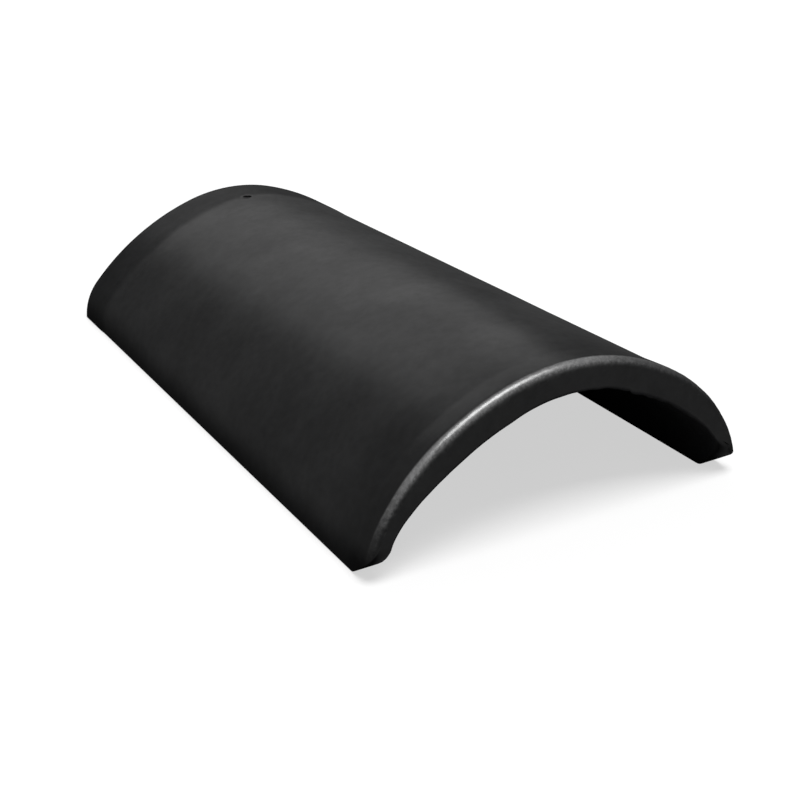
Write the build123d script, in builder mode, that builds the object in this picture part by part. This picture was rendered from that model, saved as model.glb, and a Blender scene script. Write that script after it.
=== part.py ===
from build123d import *
import os
from math import atan2, cos, degrees, radians, sin

# Half-round ridge tile, one cast concrete piece, in millimetres.
# X runs across the ridge, Y along it and Z up. The tile stands on its two feet at Z = 0.
# The wide end, which laps over the next tile, is at -Y. The narrow nailed end is at +Y.

length = 420.0

# Outer arch at each end: half width at the floor, height, and radii of crown and foot
wide_half_width = 125.5
wide_rise = 99.0
wide_crown_radius = 129.0
wide_foot_radius = 66.0
narrow_half_width = 115.5
narrow_rise = 77.3
narrow_crown_radius = 109.0
narrow_foot_radius = 38.0
crown_half_angle = 17.0

# Wall thickness, and the arch of the hollow. Its upright legs run out towards the narrow end.
crown_wall = 17.8
foot_wall = 12.5
wide_inner_crown_radius = 101.0
wide_inner_foot_radius = 37.0
wide_inner_leg = 6.5
narrow_inner_crown_radius = 88.0
narrow_inner_foot_radius = 16.3

# Rim of the wide end: the outside swells towards it and rolls over, and the inner edge is broken
rim_swell = 0.9
rim_length = 20.0
rim_steps = 3
rim_radius = 5.5
rim_inner_chamfer = 0.8

# Margin of the narrow end: a thin raised band with a short ramp up to it
margin_rise = 0.4
margin_length = 28.0
margin_ramp = 8.0
margin_chamfer = 1.0

# Slanting cut across the toe of each foot at the wide end, rounded into the end face and the sole
toe_cut_length = 18.0
toe_cut_height = 12.8
toe_upper_radius = 9.0
toe_lower_radius = 6.0

# Nail hole on the crown, on the ramp of the margin
nail_hole_radius = 3.0
nail_hole_from_end = 32.0

# Each arch is drawn down past the floor by this much, so that the floor cuts it cleanly
overcut = 5.0

wide_end = -length / 2
narrow_end = length / 2
ramp_start = narrow_end - margin_length - margin_ramp


def arch(y, half_width, rise, crown_radius, foot_radius, leg=0.0):
    """Section at y of a five-centred arch: crown arc, flatter flanks, feet, and upright legs."""
    crown_turn = radians(crown_half_angle)
    crown_x = crown_radius * sin(crown_turn)
    crown_z = rise - leg - crown_radius * (1 - cos(crown_turn))
    foot_centre_x = half_width - foot_radius
    reach = crown_x - foot_centre_x
    flank_radius = (reach**2 + crown_z**2 - foot_radius**2) / (
        2 * (reach * sin(crown_turn) + crown_z * cos(crown_turn) - foot_radius)
    )
    flank_centre_x = crown_x - flank_radius * sin(crown_turn)
    flank_centre_z = crown_z - flank_radius * cos(crown_turn)
    flank_end_angle = degrees(atan2(foot_centre_x - flank_centre_x, -flank_centre_z))
    with BuildSketch(Plane.XZ.offset(-y)) as section:
        with BuildLine():
            crown = JernArc((0, rise), (1, 0), crown_radius, -crown_half_angle)
            flank = JernArc(crown @ 1, crown % 1, flank_radius, crown_half_angle - flank_end_angle)
            foot = JernArc(flank @ 1, flank % 1, foot_radius, flank_end_angle - 90)
            Line(foot @ 1, (half_width, -overcut))
            mirror(about=Plane.YZ)
            Line((-half_width, -overcut), (half_width, -overcut))
        make_face()
    return section.sketch


def between(wide, narrow, y):
    """Size of the straight taper at y."""
    return wide + (narrow - wide) * (y - wide_end) / length


def outer_section(y, growth=0.0):
    """Section of the outside at y, with growth added all round."""
    return arch(
        y,
        between(wide_half_width, narrow_half_width, y) + growth,
        between(wide_rise, narrow_rise, y) + growth,
        between(wide_crown_radius, narrow_crown_radius, y) + growth,
        between(wide_foot_radius, narrow_foot_radius, y) + growth,
    )


def inner_section(y):
    """Section of the hollow at y."""
    return arch(
        y,
        between(wide_half_width, narrow_half_width, y) - foot_wall,
        between(wide_rise, narrow_rise, y) - crown_wall,
        between(wide_inner_crown_radius, narrow_inner_crown_radius, y),
        between(wide_inner_foot_radius, narrow_inner_foot_radius, y),
        leg=between(wide_inner_leg, 0, y),
    )


with BuildPart() as ridge_tile:
    # Outside of the arch: swelling rim, straight taper, raised margin
    rim_fractions = [step / rim_steps for step in range(rim_steps + 1)]
    rim = [outer_section(wide_end + rim_length * t, rim_swell * (1 - t**2)) for t in rim_fractions]
    margin = [
        outer_section(ramp_start),
        outer_section(narrow_end - margin_length, margin_rise),
        outer_section(narrow_end, margin_rise),
    ]
    loft(rim + margin, ruled=True)
    split(bisect_by=Plane.XY, keep=Keep.TOP)

    # Rounded arris over the wide end and a small chamfer over the narrow one, but not along the floor
    fillet(edges().group_by(Axis.Y)[0].sort_by(Axis.Z)[1:], rim_radius)
    chamfer(edges().group_by(Axis.Y)[-1].sort_by(Axis.Z)[1:], margin_chamfer)

    # Hollow, with its edge broken at the wide end, but not the two edges along the floor
    hollow = [inner_section(y) for y in (wide_end, ramp_start, narrow_end)]
    loft(hollow, ruled=True, mode=Mode.SUBTRACT)
    chamfer(edges(Select.LAST).group_by(Axis.Y)[0].sort_by(Axis.Z)[2:], rim_inner_chamfer)

    # Slanting cut across both toes, seen from the side
    with BuildSketch(Plane.YZ):
        with BuildLine():
            toe = FilletPolyline(
                (wide_end, 2 * toe_cut_height),
                (wide_end, toe_cut_height),
                (wide_end + toe_cut_length, 0),
                (wide_end + 2 * toe_cut_length, 0),
                radius=[toe_upper_radius, toe_lower_radius],
            )
            Polyline(
                toe @ 1,
                (wide_end + 2 * toe_cut_length, -toe_cut_height),
                (wide_end - toe_cut_length, -toe_cut_height),
                (wide_end - toe_cut_length, 2 * toe_cut_height),
                toe @ 0,
            )
        make_face()
    extrude(amount=2 * wide_half_width, both=True, mode=Mode.SUBTRACT)

    # Nail hole down through the crown
    with Locations((0, narrow_end - nail_hole_from_end, wide_rise)):
        Hole(nail_hole_radius)

ridge_tile.part.label = "ridge_tile"
os.makedirs("parts", exist_ok=True)
export_step(ridge_tile.part, "parts/ridge_tile.step")
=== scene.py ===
import math

import bmesh
import bpy
import numpy as np
from mathutils import Matrix, Vector, noise


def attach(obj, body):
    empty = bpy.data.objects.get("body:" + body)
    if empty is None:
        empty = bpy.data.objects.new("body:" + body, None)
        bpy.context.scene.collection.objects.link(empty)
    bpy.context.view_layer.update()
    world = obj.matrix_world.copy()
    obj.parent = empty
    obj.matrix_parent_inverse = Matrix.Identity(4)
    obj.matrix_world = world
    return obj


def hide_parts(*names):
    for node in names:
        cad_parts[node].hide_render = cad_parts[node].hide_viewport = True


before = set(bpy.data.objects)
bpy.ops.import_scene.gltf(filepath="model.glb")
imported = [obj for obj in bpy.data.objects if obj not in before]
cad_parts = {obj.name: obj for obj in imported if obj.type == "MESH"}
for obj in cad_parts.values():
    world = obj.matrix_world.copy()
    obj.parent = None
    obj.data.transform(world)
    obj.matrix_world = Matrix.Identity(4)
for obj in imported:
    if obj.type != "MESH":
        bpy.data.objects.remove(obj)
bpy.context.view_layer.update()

# Sizes of the tile in millimetres, scaled to metres when the mesh is made. They are as in the part's source,
# apart from the flanks of the rim, the arrises, and toe cuts that are a little longer and higher.
MM = 0.001
LENGTH = 420.0
WIDE_END = -LENGTH / 2
NARROW_END = LENGTH / 2
WIDE = {"half_width": 125.5, "rise": 99.0, "crown": 129.0, "foot": 66.0}
NARROW = {"half_width": 115.5, "rise": 77.3, "crown": 109.0, "foot": 38.0}
WIDE_INNER = {"half_width": 113.0, "rise": 81.2, "crown": 101.0, "foot": 37.0, "leg": 6.5}
NARROW_INNER = {"half_width": 103.0, "rise": 59.5, "crown": 88.0, "foot": 16.3, "leg": 0.0}
CROWN_HALF_ANGLE = math.radians(17.0)
RIM_SWELL = 0.9
RIM_LENGTH = 20.0
RIM_RADIUS = 5.5
RIM_FLANK_RADIUS = 3.8
RIM_INNER_RADIUS = 0.8
MARGIN_RISE = 0.4
MARGIN_LENGTH = 28.0
MARGIN_RAMP = 8.0
MARGIN_ARRIS = 1.3
TOE_LENGTH = 18.5
TOE_HEIGHT = 13.0
TOE_UPPER_RADIUS = 9.0
TOE_LOWER_RADIUS = 6.0
HOLE_RADIUS = 3.0
HOLE_FROM_END = 32.0
HOLE_Y = NARROW_END - HOLE_FROM_END
# Each arch is worked out at this many points on each arc, and drawn down past the floor by this much
ARC_POINTS = 160
OVERCUT = 10.0

# Radii of the soles' arrises. At the toes they are rounder, the inner one more so on the right.
SOLE_ARRIS = 0.6
TOE_OUTER_RADIUS = 2.0
TOE_INNER_RADIUS = {"left": 5.0, "right": 9.0}

# Where this one tile leaves the true arch near its wide end, in millimetres and shares of them. The shoulders
# are fuller, the right foot is narrower, the hollow's haunches are thicker, and its right edge has a chip and
# a tooth. All of it fades out between two distances from the wide end.
SHOULDER = 0.7
SHOULDER_FADE = (4.0, 40.0)
HAUNCH = 0.9
HAUNCH_FADE = (4.0, 80.0)
RIGHT_HAUNCH_SHARE = 0.15
RIGHT_FOOT_SHARE = 0.45
TOOTH_SHARE = 0.7
CHIP_SHARE = 0.75

# Zones of these and of the rim's flanks across the arch, from -1 at the left foot over 0 at the crown to 1 at
# the right foot. Two numbers are where a share starts and is full, and four also where it falls and ends.
FLANK_ZONE = (0.45, 0.85)
SHOULDER_ZONE = (0.4, 0.58, 0.68, 0.85)
NARROWER_FOOT_ZONE = (0.72, 0.95)
LEFT_HAUNCH_ZONE = (0.1, 0.35, 0.6, 0.85)
RIGHT_HAUNCH_ZONE = (0.1, 0.35)
RIGHT_FOOT_ZONE = (0.88, 0.95)
CHIP_ZONE = (0.14, 0.2, 0.33, 0.355)
TOOTH_ZONE = (0.33, 0.355, 0.37, 0.41)

# Lip round the nail hole: least height, height at its near left, direction of that, and unevenness
LIP_LEAST = 0.04
LIP_NEAR = 0.55
LIP_TURN = 0.9
LIP_UNEVEN = 0.06
LIP_NOISE_SCALE = 2
LIP_NOISE_SEED = 4.0

# Casting unevenness: size of the features, seed of the noise, and depth in millimetres
UNEVEN = {
    "broad": (70, 3.0, 0.12),
    "middle": (22, 11.0, 0.05),
    "fine": (8, 23.0, 0.15),
    "grain": (2.6, 31.0, 0.1),
    "hollow": (30, 47.0, 0.3),
    "ragged": (7, 59.0, 0.9),
}
# Radius round the nail hole that stays even, distances from the wide end where the grain and the ragged edge
# fade, and x where that edge gets ragged
SMOOTH_ROUND_HOLE = 14.0
GRAIN_FADE = (5.0, 7.5)
RAGGED_FADE = (1.0, 9.0)
RAGGED_X = (-20.0, 60.0)

# Looks: colours, and the strength of the glossy coat on the body, margin, end face, lip and rolled rim
COATING = (0.0098, 0.0099, 0.0102)
# Pale colour painted on the rolled rim where its highlight falls: a painted highlight
RIM_HIGHLIGHT_COLOUR = (0.06, 0.06, 0.061)
BODY_COAT = 0.08
MARGIN_COAT = 0.04
FACE_COAT = 0.075
LIP_COAT = 0.075
RIM_COAT = 1.0
# Share of the coating's colour in the hollow, and on the soles, in the hole and on the narrow end face
HOLLOW_TONE = 1.4
DULL_TONE = 0.6
# The coat's own values, and the roughness under it, which the raw surfaces have more of
COAT_IOR = 2.0
COAT_ROUGHNESS = 0.33
ROUGHNESS = (0.5, 0.62)
RAW_ROUGHER = 0.3

# Zones of the looks in millimetres, from where to where each fades: heights above the floor, distances from
# the wide end, and x at the toes
# Painted shade: the band along the bottom of the outside is darker and less glossy between these heights
FOOT_SHADE_HEIGHT = (2.0, 24.0)
# Painted shade: the outside's lower corner near the wide end loses gloss within these heights and distances
CORNER_SHADE_HEIGHT = (8.0, 20.0)
CORNER_SHADE_LENGTH = (12.0, 30.0)
# Painted shade: a darker, less glossy band behind the wide end, fading between these distances
RIM_SHADE_BAND = (12.0, 60.0)
ROLL_START = (0.0, 1.2)
ROLL_END = (3.4, 5.2)
GRAINY_EDGE = (0.3, 1.6)
FACE_EDGE = 0.3
# Painted light on the toe cuts: their gloss fades over these distances and rises across these x
TOE_LIGHT_FADE = (1.0, 9.0)
LEFT_TOE_LIGHT_X = (-123.0, -116.0)
RIGHT_TOE_LIGHT_X = (111.0, 116.0)
# Shares by which the coat and the tone change in them: darker as painted shade at the foot, the wide face's
# foot, the corner and the rim band, and the tone a little lighter on the margin
COAT_SHADE_CHANGE = {"foot": -0.8, "rim_shade_band": -0.25, "face_foot_shade": -0.6, "corner": -0.7}
TONE_CHANGE = {"foot": -0.3, "rim_shade_band": -0.15, "margin": 0.1}
RIGHT_TOE_LIGHT_SHARE = 0.7
NARROW_FACE_SHARE = 0.5
BREAK_UP_LEAST = 0.1
BREAK_UP_AT_EDGE = 0.75

# Noises of the coating: size of the features in millimetres, detail, and roughness
CLOUD = (45.0, 3.0, 0.5)
MOTTLE = (6.0, 3.0, 0.6)
SAND = (0.9, 2.0, 0.6)
FLECKS = (1.8, 3.0, 0.7)
# Most of a noise lies in this range, which the clouds and the mottling turn into shares of the shade and of
# the coat
NOISE_RANGE = (0.3, 0.7)
CLOUD_SHADE = (0.85, 1.15)
MOTTLE_SHADE = (0.88, 1.12)
CLOUD_COAT = (0.88, 1.1)
MOTTLE_COAT = (0.94, 1.06)
# Range of the flecks, and what it turns into, where the rim's painted highlight is pale and along its grainy
# edge
HIGHLIGHT_FLECKS = (0.42, 0.6, 0.25, 1.0)
EDGE_FLECKS = (0.38, 0.6, 1.0, 0.0)
# Depth of the sand, strength of its bump, and the share of it that shows through the coating
SAND_DEPTH = 0.12
SAND_STRENGTH = 0.35
COATED_SAND = 0.2

# Direction round the arch in degrees from the crown, left to right, and how polished the rim is there. Its
# fall towards the feet, sooner on the right, paints the fading of the key lamp's highlight, and it also
# spreads the pale painted highlight colour
RIM_POLISH_AND_HIGHLIGHT = (
    (-80, 0.0), (-70, 0.06), (-60, 0.22), (-52, 0.7), (-45, 1.0),
    (5, 1.0), (12, 0.7), (20, 0.35), (35, 0.1), (50, 0.02),
)

# Mesh density: points over the arch, rows through the wall, and rows along the tile, which are close together
# for the length of the rim zone
ARC_STEPS = 240
WALL_STEPS = 10
RIM_ZONE = 24.0
ROWS = {"rim": 15, "arris": 6, "swell": 13, "body": 90, "tail": 12}

# Patch of the mesh round the nail hole: its half size in columns and rows, the spacing of the rows, and the
# radius of the circle that its border closes in on
PATCH_COLUMNS = 7
PATCH_ROWS = 5
PATCH_ROW_STEP = 1.6
PATCH_RADIUS = 4.8
# Rings from the border to the hole: share of the way to that circle, radius if it is a circle already, and
# share of the lip's height
LIP_RINGS = (
    (0.45, 0, 0.0), (0.8, 0, 0.06), (1, 4.6, 0.25), (1, 3.9, 0.75),
    (1, 3.45, 1.0), (1, 3.12, 0.85), (1, HOLE_RADIUS, 0.3),
)
# Rings with more than this share of the lip's height belong to the lip
LIP_STARTS = 0.2
# Rings down the hole, as shares of its depth
WALL_DEPTHS = (0.06, 0.3, 0.6, 0.9)
# Rings under the tile, from the hole to the border, with the share and the radius as above
UNDER_RINGS = ((0, 3.1), (0, 3.7), (0, PATCH_RADIUS), (0.55, 0), (0.2, 0))

# Camera, from a fit of the tile's section to the photograph, in millimetres, radians and pixels
CAMERA_AT = (-504.6, -872.8, 476.2)
CAMERA_YAW = 0.541081
CAMERA_PITCH = 0.448050
CAMERA_FOCAL_PX = 1709.28
IMAGE_PX = 800.0

# Studio, in metres and watts: each lamp's direction from the tile, size and power
LAMP_DISTANCE = 2.0
LAMP_TARGET = (0, 0, 0.05)
KEY_LAMP = ((-0.05, -0.31, 0.95), (1.55, 1.0), 41.0)
BACK_LAMP = ((0.24, 0.85, 0.47), (1.6, 1.0), 21.0)
AMBIENT = 0.15
FLOOR_HALF = 6.0
FLOOR_GREY = 0.4
# The floor lies at this height, a little under the soles, so that the two surfaces don't coincide
FLOOR_HEIGHT = -0.0001
# The floor glows from this strength near the tile to white further away, between these distances
FLOOR_GLOW = 0.6
FLOOR_GLOW_FADE = (0.5, 2.0)


def between(wide, narrow, y):
    """Sizes of the straight taper at y."""
    t = (y - WIDE_END) / LENGTH
    return {key: wide[key] + (narrow[key] - wide[key]) * t for key in wide}


def grown(size, growth):
    """The same section, offset outwards by growth."""
    return {key: value + (0.0 if key == "leg" else growth) for key, value in size.items()}


def half_arch(size):
    """x and z of the right half of a five-centred arch, from the crown to below the floor."""
    leg = size.get("leg", 0.0)
    crown, foot = size["crown"], size["foot"]
    s, c = math.sin(CROWN_HALF_ANGLE), math.cos(CROWN_HALF_ANGLE)
    crown_x = crown * s
    crown_z = size["rise"] - leg - crown * (1 - c)
    foot_x = size["half_width"] - foot
    reach = crown_x - foot_x
    flank = (reach**2 + crown_z**2 - foot**2) / (2 * (reach * s + crown_z * c - foot))
    flank_x, flank_z = crown_x - flank * s, crown_z - flank * c
    flank_end = math.atan2(foot_x - flank_x, -flank_z)
    a = np.linspace(0, CROWN_HALF_ANGLE, ARC_POINTS, endpoint=False)
    b = np.linspace(CROWN_HALF_ANGLE, flank_end, ARC_POINTS, endpoint=False)
    d = np.linspace(flank_end, math.pi / 2, ARC_POINTS, endpoint=False)
    x = np.concatenate([crown * np.sin(a), flank_x + flank * np.sin(b), foot_x + foot * np.sin(d)])
    z = np.concatenate([
        size["rise"] - leg - crown + crown * np.cos(a), flank_z + flank * np.cos(b), foot * np.cos(d)
    ])
    x = np.append(x, [size["half_width"]] * 2)
    z = np.append(z + leg, [leg, -OVERCUT])
    return x, z


def arch_points(size, cut):
    """Evenly spaced points over the arch, from the left leg to the right one, ending at height cut."""
    x, z = half_arch(size)
    run = np.concatenate([[0.0], np.cumsum(np.hypot(np.diff(x), np.diff(z)))])
    end = np.interp(-cut, -z, run)
    at = np.linspace(0.0, end, ARC_STEPS // 2 + 1)
    px, pz = np.interp(at, run, x), np.interp(at, run, z)
    return np.concatenate([-px[:0:-1], px]), np.concatenate([pz[:0:-1], pz])


def toe_floor(y):
    """Height of the underside at y: the slanting toe cut at the wide end, rounded at both corners."""
    d = y - WIDE_END
    slope = math.hypot(TOE_LENGTH, TOE_HEIGHT)
    run, fall = TOE_LENGTH / slope, TOE_HEIGHT / slope
    upper = TOE_UPPER_RADIUS * math.tan((math.pi / 2 - math.asin(fall)) / 2)
    lower = TOE_LOWER_RADIUS * math.tan(math.asin(fall) / 2)
    if d < upper * run:
        centre = TOE_HEIGHT + upper
        return centre - math.sqrt(max(0.0, TOE_UPPER_RADIUS**2 - (TOE_UPPER_RADIUS - d) ** 2))
    if d < TOE_LENGTH - lower * run:
        return TOE_HEIGHT * (1 - d / TOE_LENGTH)
    if d < TOE_LENGTH + lower:
        return TOE_LOWER_RADIUS - math.sqrt(TOE_LOWER_RADIUS**2 - (TOE_LENGTH + lower - d) ** 2)
    return 0.0


def smooth(value, low, high):
    """Smooth step from 0 at low to 1 at high, for numbers or arrays."""
    t = np.clip((np.asarray(value, float) - low) / (high - low), 0.0, 1.0)
    return t * t * (3 - 2 * t)


def fade(value, near, far):
    """Smooth step from 1 at near to 0 at far, for numbers or arrays."""
    return 1 - smooth(value, near, far)


def hump(value, start, full, still_full, end):
    """Smooth rise from 0 at start to 1 at full, and smooth fall from 1 at still_full to 0 at end."""
    return smooth(value, start, full) * fade(value, still_full, end)


def quarter_inset(distance, radius):
    """How far a rounded arris of that radius stands back, at this distance from the end face."""
    if distance >= radius:
        return 0.0
    return radius - math.sqrt(max(0.0, radius**2 - (radius - distance) ** 2))


def margin_share(from_narrow):
    """1 on the raised margin of the narrow end, falling to 0 over its ramp."""
    return smooth(-from_narrow, -MARGIN_LENGTH - MARGIN_RAMP, -MARGIN_LENGTH)


def outer_growth(y, rim_radius=RIM_RADIUS):
    """How far the outside stands off the straight taper: swelling rim, raised margin, rounded arrises."""
    from_wide, from_narrow = y - WIDE_END, NARROW_END - y
    swell = RIM_SWELL * (1 - min(1.0, from_wide / RIM_LENGTH) ** 2)
    margin = MARGIN_RISE * float(margin_share(from_narrow))
    return swell + margin - quarter_inset(from_wide, rim_radius) - quarter_inset(from_narrow, MARGIN_ARRIS)


def inner_growth(y):
    """How far the hollow is widened at the rounded inner edge of each end."""
    inset = quarter_inset(y - WIDE_END, RIM_INNER_RADIUS)
    return inset + quarter_inset(NARROW_END - y, MARGIN_ARRIS)


def rounded_corner(start, corner, end):
    """Four points of the curve from start to end that rounds off the corner, start left out."""
    points = []
    for t in (0.25, 0.5, 0.75, 1.0):
        a, b, c = (1 - t) ** 2, 2 * t * (1 - t), t * t
        points.append((a * start[0] + b * corner[0] + c * end[0], a * start[1] + b * corner[1] + c * end[1]))
    return points


def wall_end(outer, inner, corners, radii, floor):
    """The strip across a sole, from the outside's last point to the hollow's, with rounded arrises."""
    side = 1.0 if outer[0] > inner[0] else -1.0
    points = rounded_corner(outer, (corners[0], floor), (corners[0] - side * radii[0], floor))
    back = rounded_corner(inner, (corners[1], floor), (corners[1] + side * radii[1], floor))
    middle = ((points[-1][0] + back[-1][0]) / 2, floor)
    return points + [middle] + back[::-1]


def sole_radii(y, side):
    """Radii of the sole's outer and inner arrises, larger at the toes."""
    toe = 1 - float(smooth(y - WIDE_END, 0.0, TOE_LENGTH))
    at_toe = (TOE_OUTER_RADIUS, TOE_INNER_RADIUS[side])
    return tuple(SOLE_ARRIS + (radius - SOLE_ARRIS) * toe for radius in at_toe)


def blend(size, cut, *changes):
    """Points of a section, with each change's section mixed in by its share at each point."""
    base = np.column_stack(arch_points(size, cut))
    points = base.copy()
    for other, share in changes:
        points += (np.column_stack(arch_points(other, cut)) - base) * share[:, None]
    return points


def arris_steps(radius, count):
    """Distances from an end that follow the quarter circle of its arris."""
    return [radius * (1 - math.cos(math.radians(a))) for a in np.linspace(0, 90, count)]


def stations():
    """Positions along the tile, closer at its ends and hole, and the first row of the hole's patch."""
    wide = [WIDE_END + d for d in arris_steps(RIM_RADIUS, ROWS["rim"])]
    wide += list(np.linspace(WIDE_END + RIM_RADIUS, WIDE_END + RIM_ZONE, ROWS["swell"])[1:])
    hole_rows = HOLE_Y + np.arange(-PATCH_ROWS, PATCH_ROWS + 1) * PATCH_ROW_STEP
    body = list(np.linspace(WIDE_END + RIM_ZONE, hole_rows[0], ROWS["body"])[1:-1])
    tail = list(np.linspace(hole_rows[-1], NARROW_END - MARGIN_ARRIS, ROWS["tail"])[1:-1])
    narrow = [NARROW_END - d for d in arris_steps(MARGIN_ARRIS, ROWS["arris"])[::-1]]
    return np.array(wide + body + list(hole_rows) + tail + narrow), len(wide) + len(body)


def section_shares():
    """Shares of the flank's rim radius, fuller shoulders and thicker haunches at each point of the arch."""
    across = np.linspace(-1, 1, ARC_STEPS + 1)
    flank = smooth(np.abs(across), *FLANK_ZONE)
    shoulder = hump(np.abs(across), *SHOULDER_ZONE) - smooth(across, *NARROWER_FOOT_ZONE)
    left = hump(-across, *LEFT_HAUNCH_ZONE)
    right = RIGHT_HAUNCH_SHARE * smooth(across, *RIGHT_HAUNCH_ZONE)
    right += RIGHT_FOOT_SHARE * smooth(across, *RIGHT_FOOT_ZONE)
    right += TOOTH_SHARE * hump(across, *TOOTH_ZONE) - CHIP_SHARE * hump(across, *CHIP_ZONE)
    return flank, shoulder, np.where(across > 0, right, left)


def half_section(y, side, shares):
    """Points of the outside and the hollow, over the whole arch, and of the sole on that side, all at y."""
    flank, shoulder, haunch = shares
    floor, from_wide = toe_floor(y), y - WIDE_END
    straight = between(WIDE, NARROW, y)
    outside = grown(straight, outer_growth(y))
    hollow = grown(between(WIDE_INNER, NARROW_INNER, y), inner_growth(y))
    radii = sole_radii(y, side)
    outer = blend(
        outside, floor + radii[0],
        (grown(straight, outer_growth(y, RIM_FLANK_RADIUS)), flank),
        (grown(outside, SHOULDER), shoulder * fade(from_wide, *SHOULDER_FADE)),
    )
    inner = blend(
        hollow, floor + radii[1], (grown(hollow, -HAUNCH), haunch * fade(from_wide, *HAUNCH_FADE))
    )
    last, sign = (0, -1) if side == "left" else (-1, 1)
    widening = arch_points(outside, floor)[0][last] - arch_points(outside, floor + radii[0])[0][last]
    outer_corner = outer[last, 0] + (widening if floor > 1 else 0.0)
    corners = (outer_corner, sign * arch_points(hollow, floor)[0][-1])
    return outer, inner, np.array(wall_end(outer[last], inner[last], corners, radii, floor))


def tile_grid():
    """Closed loops of points round the section, one for each station, and the first row of the hole's patch.

    A loop runs over the outside from left to right, across the right sole, back round the hollow, and across
    the left sole.
    """
    rows, hole_row = stations()
    shares = section_shares()
    half = ARC_STEPS // 2
    loops = []
    for y in rows:
        outer_left, inner_left, strip_left = half_section(y, "left", shares)
        outer_right, inner_right, strip_right = half_section(y, "right", shares)
        xz = np.concatenate([
            outer_left[:half], outer_right[half:], strip_right,
            inner_right[half:][::-1], inner_left[:half][::-1], strip_left[::-1],
        ])
        loops.append(np.column_stack([xz[:, 0], np.full(len(xz), y), xz[:, 1]]))
    return np.array(loops), hole_row


def top_height(x, y):
    """Height of the outside near the crown at x and y."""
    size = grown(between(WIDE, NARROW, y), outer_growth(y))
    return size["rise"] - size["crown"] + math.sqrt(size["crown"] ** 2 - x * x)


def under_height(x, y):
    """Height of the hollow near the crown at x and y."""
    size = between(WIDE_INNER, NARROW_INNER, y)
    return size["rise"] - size["crown"] + math.sqrt(size["crown"] ** 2 - x * x)


def lip_height(angle):
    """Height of the lip of coating and laitance that the pin pushed up round the nail hole."""
    near = 0.5 - 0.5 * math.sin(angle + LIP_TURN)
    x, y = math.cos(angle) * LIP_NOISE_SCALE, math.sin(angle) * LIP_NOISE_SCALE
    return LIP_LEAST + LIP_NEAR * near**2 + LIP_UNEVEN * noise.noise(Vector((x, y, LIP_NOISE_SEED)))


class Shell:
    """Points in millimetres, their kinds, and the faces of the tile's mesh while it is being made."""

    def __init__(self, points, kinds):
        self.points, self.kinds, self.faces = list(points), list(kinds), []

    def add(self, points, kind):
        """Adds points of one kind and gives their numbers."""
        start = len(self.points)
        self.points.extend(points)
        self.kinds.extend([kind] * len(points))
        return list(range(start, len(self.points)))

    def bridge(self, first, second):
        """Adds the faces between two closed rings, and gives the second."""
        for k in range(len(first)):
            m = (k + 1) % len(first)
            self.faces.append((first[k], first[m], second[m], second[k]))
        return second


def patch_border(index, row, column):
    """Numbers of the points round the patch of the grid that starts at that row and column."""
    last_row, last_column = row + 2 * PATCH_ROWS, column + 2 * PATCH_COLUMNS
    ring = [index[row, i] for i in range(column, last_column)]
    ring += [index[j, last_column] for j in range(row, last_row)]
    ring += [index[last_row, i] for i in range(last_column, column, -1)]
    return ring + [index[j, column] for j in range(last_row, row, -1)]


def hole_ring(border, radius):
    """Points at that radius round the nail hole, each in the direction of one point of the patch's border."""
    angles = [math.atan2(p[1] - HOLE_Y, p[0]) for p in border]
    return [(radius * math.cos(a), HOLE_Y + radius * math.sin(a)) for a in angles]


def ring_places(border, targets, share, radius):
    """x and y of a ring: at that radius, or else that share of the way from border to the patch's circle."""
    if radius:
        return hole_ring(targets, radius)
    goal = hole_ring(targets, PATCH_RADIUS)
    return [(p[0] + (g[0] - p[0]) * share, p[1] + (g[1] - p[1]) * share) for p, g in zip(border, goal)]


def turned_to(shell, ring, targets):
    """The ring, starting at the point that brings its points nearest to the targets."""
    def distance(shift):
        """Sum of the squares of some distances to the targets, when the ring is turned by shift."""
        total = 0.0
        for m in range(0, len(ring), 6):
            point = shell.points[ring[(m + shift) % len(ring)]]
            total += (point[0] - targets[m][0]) ** 2 + (point[1] - targets[m][1]) ** 2
        return total

    shift = min(range(len(ring)), key=distance)
    return ring[shift:] + ring[:shift]


def nail_hole(shell, outer_border, inner_border):
    """Rings of faces from the outside's border over the lip, down the hole and out to the hollow's border."""
    start = [shell.points[k] for k in outer_border]
    ring = outer_border
    for share, radius, lift in LIP_RINGS:
        places = ring_places(start, start, share, radius)
        points = [(x, y, top_height(x, y) + lift * lip_height(math.atan2(y - HOLE_Y, x))) for x, y in places]
        ring = shell.bridge(ring, shell.add(points, "burr" if lift > LIP_STARTS else "outside"))
    for depth in WALL_DEPTHS:
        points = []
        for x, y in hole_ring(start, HOLE_RADIUS):
            high, low = top_height(x, y), under_height(x, y)
            points.append((x, y, high + (low - high) * depth))
        ring = shell.bridge(ring, shell.add(points, "hole"))
    inner_border = turned_to(shell, inner_border[::-1], start)
    end = [shell.points[k] for k in inner_border]
    for share, radius in UNDER_RINGS:
        places = ring_places(end, start, share, radius)
        ring = shell.bridge(ring, shell.add([(x, y, under_height(x, y)) for x, y in places], "hollow"))
    shell.bridge(ring, inner_border)


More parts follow.
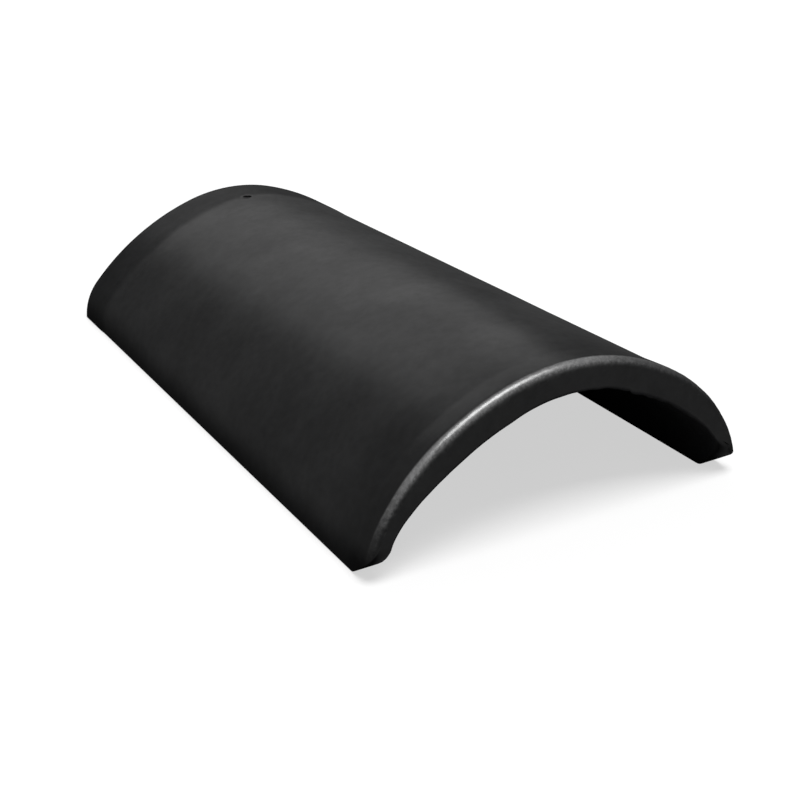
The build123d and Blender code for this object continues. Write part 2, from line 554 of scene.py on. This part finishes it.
def end_face(shell, loop, wide):
    """Fills an end of the tile with rows of quads from the outside to the hollow."""
    inner_start = ARC_STEPS + WALL_STEPS
    grid = np.zeros((WALL_STEPS + 1, ARC_STEPS + 1), int)
    grid[0] = loop[:ARC_STEPS + 1]
    grid[WALL_STEPS] = loop[inner_start:inner_start + ARC_STEPS + 1][::-1]
    grid[1:WALL_STEPS, ARC_STEPS] = loop[ARC_STEPS + 1:inner_start]
    grid[1:WALL_STEPS, 0] = loop[inner_start + ARC_STEPS + 1:][::-1]
    for i in range(1, ARC_STEPS):
        a, b = np.array(shell.points[grid[0, i]]), np.array(shell.points[grid[WALL_STEPS, i]])
        column = [tuple(a + (b - a) * (k / WALL_STEPS)) for k in range(1, WALL_STEPS)]
        grid[1:WALL_STEPS, i] = shell.add(column, "wide_face" if wide else "narrow_face")
    for k in range(WALL_STEPS):
        for i in range(ARC_STEPS):
            quad = (grid[k, i], grid[k, i + 1], grid[k + 1, i + 1], grid[k + 1, i])
            shell.faces.append(quad[::-1] if wide else quad)


def build_tile():
    """One closed mesh of the tile with its nail hole, and the kind of each of its points."""
    loops, hole_row = tile_grid()
    count_rows, count_loop = loops.shape[:2]
    arch, sole = ARC_STEPS + 1, ["sole"] * (WALL_STEPS - 1)
    strip = ["outside"] * arch + sole + ["hollow"] * arch + sole
    shell = Shell([tuple(p) for p in loops.reshape(-1, 3)], strip * count_rows)
    index = np.arange(count_rows * count_loop).reshape(count_rows, count_loop)
    outer_column = ARC_STEPS // 2 - PATCH_COLUMNS
    inner_column = ARC_STEPS + WALL_STEPS + outer_column
    patch_rows = range(hole_row, hole_row + 2 * PATCH_ROWS)
    patch_columns = {start + k for start in (outer_column, inner_column) for k in range(2 * PATCH_COLUMNS)}
    for j in range(count_rows - 1):
        for i in range(count_loop):
            if j in patch_rows and i in patch_columns:
                continue
            n = (i + 1) % count_loop
            shell.faces.append((index[j, i], index[j, n], index[j + 1, n], index[j + 1, i]))
    nail_hole(shell, patch_border(index, hole_row, outer_column), patch_border(index, hole_row, inner_column))
    end_face(shell, index[0], True)
    end_face(shell, index[-1], False)

    mesh = bpy.data.meshes.new("tile")
    points = [(x * MM, y * MM, z * MM) for x, y, z in shell.points]
    mesh.from_pydata(points, [], [tuple(int(k) for k in face) for face in shell.faces])
    mesh.update()
    tile = bpy.data.objects.new("tile", mesh)
    bpy.context.scene.collection.objects.link(tile)
    return tile, np.array(shell.kinds)


def face_outwards(tile):
    """Turns the faces so that their normals point outwards, and shades them smooth."""
    bm = bmesh.new()
    bm.from_mesh(tile.data)
    bmesh.ops.recalc_face_normals(bm, faces=bm.faces)
    bm.to_mesh(tile.data)
    bm.free()
    for polygon in tile.data.polygons:
        polygon.use_smooth = True


def mesh_arrays(mesh):
    """Positions in millimetres and normals of the mesh's vertices."""
    co = np.empty(len(mesh.vertices) * 3)
    mesh.vertices.foreach_get("co", co)
    normals = np.empty(len(mesh.vertices) * 3)
    mesh.vertex_normals.foreach_get("vector", normals)
    return co.reshape(-1, 3) / MM, normals.reshape(-1, 3)


def uneven(points, name):
    """Depth of one kind of casting unevenness at each point."""
    size, seed, depth = UNEVEN[name]
    values = [noise.noise(Vector((p[0] / size + seed, p[1] / size, p[2] / size))) for p in points]
    return depth * np.clip(0.5 + np.array(values), 0.0, 1.0)


def weather(tile, kinds):
    """Moves the points in by the casting unevenness, and roughens the hollow's edge at the right."""
    co, normals = mesh_arrays(tile.data)
    outside = np.isin(kinds, ["outside", "wide_face", "narrow_face"])
    hollow = kinds == "hollow"
    from_wide = co[:, 1] - WIDE_END
    depth = np.where(outside, uneven(co, "broad") + uneven(co, "middle"), 0.0)
    depth += outside * fade(from_wide, *GRAIN_FADE) * uneven(co, "grain")
    depth += np.where(hollow, uneven(co, "hollow") + uneven(co, "fine"), 0.0)
    depth -= hollow * fade(from_wide, *RAGGED_FADE) * smooth(co[:, 0], *RAGGED_X) * uneven(co, "ragged")
    depth[np.hypot(co[:, 0], co[:, 1] - HOLE_Y) < SMOOTH_ROUND_HOLE] = 0.0
    co -= normals * depth[:, None]
    co[:, 1] = np.clip(co[:, 1], WIDE_END, NARROW_END)
    co[:, 2] = np.maximum(co[:, 2], 0.0)
    tile.data.vertices.foreach_set("co", (co * MM).ravel())
    tile.data.update()


def add_mask(mesh, name, values):
    """Stores one number for each point, for the material's nodes to read."""
    layer = mesh.attributes.new(name, "FLOAT", "POINT")
    layer.data.foreach_set("value", np.asarray(values, np.float32))


def rim_polish_and_highlight(co, normals):
    """The band of the rolled rim, and how polished it is at each point, fading towards both feet as a painted
    highlight.
    """
    from_wide = co[:, 1] - WIDE_END
    turn = np.degrees(np.arctan2(normals[:, 0], normals[:, 2]))
    rolled = fade(from_wide, *ROLL_END) * smooth(from_wide, *ROLL_START)
    return rolled, rolled * np.interp(turn, *zip(*RIM_POLISH_AND_HIGHLIGHT))


def coat_strength(co, kinds, polish_and_highlight, foot, rim_shade_band):
    """Strength of the glossy coat at each point, lowered as painted shade at the foot, behind the wide end
    and at its lower corner, and raised as painted light on the toe cuts.
    """
    outside, wide_face = kinds == "outside", kinds == "wide_face"
    x, from_wide = co[:, 0], co[:, 1] - WIDE_END
    coat = BODY_COAT + (MARGIN_COAT - BODY_COAT) * margin_share(NARROW_END - co[:, 1])
    # Painted shade: less gloss at the foot and in the band behind the wide end
    coat = coat * (1 + COAT_SHADE_CHANGE["foot"] * foot) * (1 + COAT_SHADE_CHANGE["rim_shade_band"] * rim_shade_band)
    coat = np.where(outside, coat + (RIM_COAT - coat) * polish_and_highlight, 0.0)
    # Painted shade: the wide face is less glossy near the floor
    face_coat = FACE_COAT * (1 + COAT_SHADE_CHANGE["face_foot_shade"] * foot)
    coat[wide_face] = face_coat[wide_face]
    edge = outside & (from_wide < FACE_EDGE)
    coat[edge] = np.maximum(coat[edge], face_coat[edge])
    coat[kinds == "narrow_face"] = NARROW_FACE_SHARE * FACE_COAT
    # Painted light: gloss raised on the toe cuts towards their inner side, less on the right toe
    toe = (kinds == "sole") * fade(from_wide, *TOE_LIGHT_FADE)
    toe *= np.where(x < 0, smooth(x, *LEFT_TOE_LIGHT_X), RIGHT_TOE_LIGHT_SHARE * smooth(x, *RIGHT_TOE_LIGHT_X))
    coat += FACE_COAT * toe
    # Painted shade: less gloss at the lower corner of the outside near the wide end
    corner = outside * fade(co[:, 2], *CORNER_SHADE_HEIGHT) * fade(from_wide, *CORNER_SHADE_LENGTH)
    coat *= 1 + COAT_SHADE_CHANGE["corner"] * corner
    coat[kinds == "burr"] = LIP_COAT
    return coat


def paint_masks(tile, kinds):
    """Where the coating is glossy, how dark it is with its painted shade bands, where the rim's painted
    highlight is pale or grainy, and what is raw.
    """
    co, normals = mesh_arrays(tile.data)
    outside = kinds == "outside"
    from_wide = co[:, 1] - WIDE_END
    foot = fade(co[:, 2], *FOOT_SHADE_HEIGHT)
    rim_shade_band = fade(from_wide, *RIM_SHADE_BAND)
    rolled, polish_and_highlight = rim_polish_and_highlight(co, normals)
    margin = margin_share(NARROW_END - co[:, 1])
    # Painted shade: darker at the foot and in the band behind the wide end; the margin a little lighter
    tone = (1 + TONE_CHANGE["foot"] * foot) * (1 + TONE_CHANGE["margin"] * margin)
    tone *= 1 + TONE_CHANGE["rim_shade_band"] * rim_shade_band
    plain = np.isin(kinds, ["wide_face", "burr"])
    tone = np.select([outside, plain, kinds == "hollow"], [tone, 1.0, HOLLOW_TONE], DULL_TONE)
    break_up = rolled * (BREAK_UP_LEAST + BREAK_UP_AT_EDGE * fade(from_wide, *GRAINY_EDGE))
    add_mask(tile.data, "coat", coat_strength(co, kinds, polish_and_highlight, foot, rim_shade_band))
    add_mask(tile.data, "tone", tone)
    # Share of the pale painted highlight on the rim
    add_mask(tile.data, "rim_highlight", np.where(outside, polish_and_highlight, 0.0))
    add_mask(tile.data, "break_up", np.where(outside, break_up, 0.0))
    add_mask(tile.data, "raw", np.isin(kinds, ["hollow", "sole", "narrow_face", "hole"]))


def add_camera():
    """Camera at the photograph's viewing angle."""
    look = Vector((
        math.sin(CAMERA_YAW) * math.cos(CAMERA_PITCH),
        math.cos(CAMERA_YAW) * math.cos(CAMERA_PITCH),
        -math.sin(CAMERA_PITCH),
    ))
    right = Vector((math.cos(CAMERA_YAW), -math.sin(CAMERA_YAW), 0.0))
    up = right.cross(look)
    data = bpy.data.cameras.new("camera")
    data.sensor_fit = "HORIZONTAL"
    data.sensor_width = 36.0
    data.lens = CAMERA_FOCAL_PX * data.sensor_width / IMAGE_PX
    data.clip_end = 50.0
    camera = bpy.data.objects.new("camera", data)
    bpy.context.scene.collection.objects.link(camera)
    basis = Matrix((right, up, -look)).transposed().to_4x4()
    basis.translation = Vector(CAMERA_AT) * MM
    camera.matrix_world = basis
    bpy.context.scene.camera = camera


def area_light(name, direction, size, power):
    """A soft rectangular lamp that looks at the tile from that direction."""
    data = bpy.data.lights.new(name, "AREA")
    data.shape = "RECTANGLE"
    data.size, data.size_y = size
    data.energy = power
    lamp = bpy.data.objects.new(name, data)
    bpy.context.scene.collection.objects.link(lamp)
    away = Vector(direction).normalized()
    lamp.location = Vector(LAMP_TARGET) + away * LAMP_DISTANCE
    lamp.rotation_euler = away.to_track_quat("Z", "Y").to_euler()
    lamp.visible_camera = False


class Graph:
    """The node tree of a material or the world, with short calls for the nodes that this script uses."""

    def __init__(self, owner):
        owner.use_nodes = True
        self.tree = owner.node_tree
        self.tree.nodes.clear()

    def node(self, kind):
        """Adds a node of that kind."""
        return self.tree.nodes.new("ShaderNode" + kind)

    def link(self, start, end):
        """Joins an output to an input."""
        self.tree.links.new(start, end)

    def noise(self, size, detail, rough):
        """Noise in the object's space, with features of that size in millimetres."""
        node = self.node("TexNoise")
        node.inputs["Scale"].default_value = 1.0 / (size * MM)
        node.inputs["Detail"].default_value = detail
        node.inputs["Roughness"].default_value = rough
        self.link(self.node("TexCoord").outputs["Object"], node.inputs["Vector"])
        return node.outputs["Fac"]

    def remap(self, value, low, high, to_low, to_high, smooth_step=False):
        """Maps low..high to to_low..to_high, and clamps it."""
        node = self.node("MapRange")
        node.interpolation_type = "SMOOTHSTEP" if smooth_step else "LINEAR"
        node.inputs["From Min"].default_value = low
        node.inputs["From Max"].default_value = high
        node.inputs["To Min"].default_value = to_low
        node.inputs["To Max"].default_value = to_high
        self.link(value, node.inputs["Value"])
        return node.outputs["Result"]

    def math(self, operation, first, second):
        """One arithmetic step between two sockets or numbers."""
        node = self.node("Math")
        node.operation = operation
        for socket, value in zip(node.inputs, (first, second)):
            if isinstance(value, (int, float)):
                socket.default_value = value
            else:
                self.link(value, socket)
        return node.outputs["Value"]

    def times(self, *values):
        """Product of sockets or numbers."""
        product = values[0]
        for value in values[1:]:
            product = self.math("MULTIPLY", product, value)
        return product

    def mask(self, name):
        """One of the numbers that are painted on the mesh."""
        node = self.node("Attribute")
        node.attribute_name = name
        return node.outputs["Fac"]

    def colour_mix(self, factor, first, second):
        """Mixes two colours, each a socket or three numbers."""
        node = self.node("Mix")
        node.data_type = "RGBA"
        self.link(factor, node.inputs["Factor"])
        for socket, value in ((node.inputs[6], first), (node.inputs[7], second)):
            if isinstance(value, tuple):
                socket.default_value = (*value, 1)
            else:
                self.link(value, socket)
        return node.outputs[2]

    def seen_by_eye(self):
        """1 for camera, glossy and transmission rays, and 0 for the light that falls on the object."""
        path = self.node("LightPath")
        seen = self.math("MAXIMUM", path.outputs["Is Camera Ray"], path.outputs["Is Glossy Ray"])
        return self.math("MAXIMUM", seen, path.outputs["Is Transmission Ray"])

    def shader_mix(self, factor, first, second):
        """The first shader where factor is 0, and the second where it is 1."""
        node = self.node("MixShader")
        for socket, value in zip(node.inputs, (factor, first, second)):
            self.link(value, socket)
        return node.outputs[0]


def concrete_colour(graph, cloud, mottle, flecks):
    """Nearly black coating, cloudy and mottled, with a pale painted highlight along the rim."""
    clouded = graph.remap(cloud, *NOISE_RANGE, *CLOUD_SHADE)
    mottled = graph.remap(mottle, *NOISE_RANGE, *MOTTLE_SHADE)
    shade = graph.times(clouded, mottled, graph.mask("tone"))
    # Half the shade mixes black with twice the coating's colour, so that shades above 1 stay in range
    coated = graph.colour_mix(graph.times(shade, 0.5), (0.0, 0.0, 0.0), tuple(2 * c for c in COATING))
    # Pale painted highlight along the polished rim, flecked
    highlighted = graph.times(graph.mask("rim_highlight"), graph.remap(flecks, *HIGHLIGHT_FLECKS))
    return graph.colour_mix(highlighted, coated, RIM_HIGHLIGHT_COLOUR)


def coat_weight(graph, cloud, mottle, flecks):
    """The painted strength of the coat, broken up along the rim's lower edge, and slightly uneven."""
    broken = graph.times(graph.mask("break_up"), graph.remap(flecks, *EDGE_FLECKS))
    kept = graph.math("SUBTRACT", 1.0, broken)
    mottled = graph.remap(mottle, *NOISE_RANGE, *MOTTLE_COAT)
    clouded = graph.remap(cloud, *NOISE_RANGE, *CLOUD_COAT)
    return graph.times(graph.mask("coat"), kept, mottled, clouded)


def sandy_bump(graph, sand):
    """Fine sand, much stronger on the raw surfaces."""
    depth = graph.math("ADD", graph.times(graph.mask("raw"), 1 - COATED_SAND), COATED_SAND)
    bump = graph.node("Bump")
    bump.inputs["Strength"].default_value = SAND_STRENGTH
    bump.inputs["Distance"].default_value = SAND_DEPTH * MM
    graph.link(graph.times(sand, depth), bump.inputs["Height"])
    return bump.outputs["Normal"]


def coated_concrete():
    """Satin black coating over cast concrete, polished along the rim with a pale painted highlight, raw and
    sandy inside.
    """
    material = bpy.data.materials.new("coated_concrete")
    graph = Graph(material)
    bsdf = graph.node("BsdfPrincipled")
    graph.link(bsdf.outputs[0], graph.node("OutputMaterial").inputs[0])
    cloud = graph.noise(*CLOUD)
    mottle = graph.noise(*MOTTLE)
    sand = graph.noise(*SAND)
    flecks = graph.noise(*FLECKS)
    graph.link(concrete_colour(graph, cloud, mottle, flecks), bsdf.inputs["Base Color"])
    graph.link(coat_weight(graph, cloud, mottle, flecks), bsdf.inputs["Coat Weight"])
    bsdf.inputs["Coat IOR"].default_value = COAT_IOR
    bsdf.inputs["Coat Roughness"].default_value = COAT_ROUGHNESS
    bsdf.inputs["Specular IOR Level"].default_value = 0.0
    coated = graph.remap(mottle, *NOISE_RANGE, *ROUGHNESS)
    rough = graph.math("ADD", coated, graph.times(graph.mask("raw"), RAW_ROUGHER))
    graph.link(rough, bsdf.inputs["Roughness"])
    normal = sandy_bump(graph, sand)
    graph.link(normal, bsdf.inputs["Normal"])
    graph.link(normal, bsdf.inputs["Coat Normal"])
    return material


def floor_material():
    """Pale grey for the light that falls on the tile, and near white for the eye and reflections."""
    material = bpy.data.materials.new("floor")
    graph = Graph(material)
    grey = graph.node("BsdfDiffuse")
    grey.inputs["Color"].default_value = (FLOOR_GREY, FLOOR_GREY, FLOOR_GREY, 1)
    away = graph.node("VectorMath")
    away.operation = "LENGTH"
    graph.link(graph.node("TexCoord").outputs["Object"], away.inputs[0])
    glow = graph.node("Emission")
    glowing = graph.remap(away.outputs["Value"], *FLOOR_GLOW_FADE, FLOOR_GLOW, 1.0, smooth_step=True)
    graph.link(glowing, glow.inputs["Strength"])
    seen = graph.node("AddShader")
    graph.link(grey.outputs[0], seen.inputs[0])
    graph.link(glow.outputs[0], seen.inputs[1])
    surface = graph.shader_mix(graph.seen_by_eye(), grey.outputs[0], seen.outputs[0])
    graph.link(surface, graph.node("OutputMaterial").inputs[0])
    return material


def add_floor():
    """Plain pale floor that keeps the tile's shadow."""
    mesh = bpy.data.meshes.new("floor")
    corners = [(-1, -1), (1, -1), (1, 1), (-1, 1)]
    mesh.from_pydata([(x * FLOOR_HALF, y * FLOOR_HALF, FLOOR_HEIGHT) for x, y in corners], [], [(0, 1, 2, 3)])
    floor = bpy.data.objects.new("floor", mesh)
    bpy.context.scene.collection.objects.link(floor)
    mesh.materials.append(floor_material())


def add_world():
    """Soft ambient light, with a white background for the eye and reflections."""
    world = bpy.data.worlds.new("studio")
    bpy.context.scene.world = world
    graph = Graph(world)
    shaders = []
    for strength in (AMBIENT, 1.0):
        background = graph.node("Background")
        background.inputs["Color"].default_value = (1, 1, 1, 1)
        background.inputs["Strength"].default_value = strength
        shaders.append(background.outputs[0])
    graph.link(graph.shader_mix(graph.seen_by_eye(), *shaders), graph.node("OutputWorld").inputs[0])


add_camera()
tile, kinds = build_tile()
face_outwards(tile)
weather(tile, kinds)
paint_masks(tile, kinds)
tile.data.materials.append(coated_concrete())
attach(tile, "root")
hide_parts("ridge_tile")

add_floor()
add_world()
area_light("key", *KEY_LAMP)
area_light("back", *BACK_LAMP)

bpy.context.scene.view_settings.view_transform = "Standard"
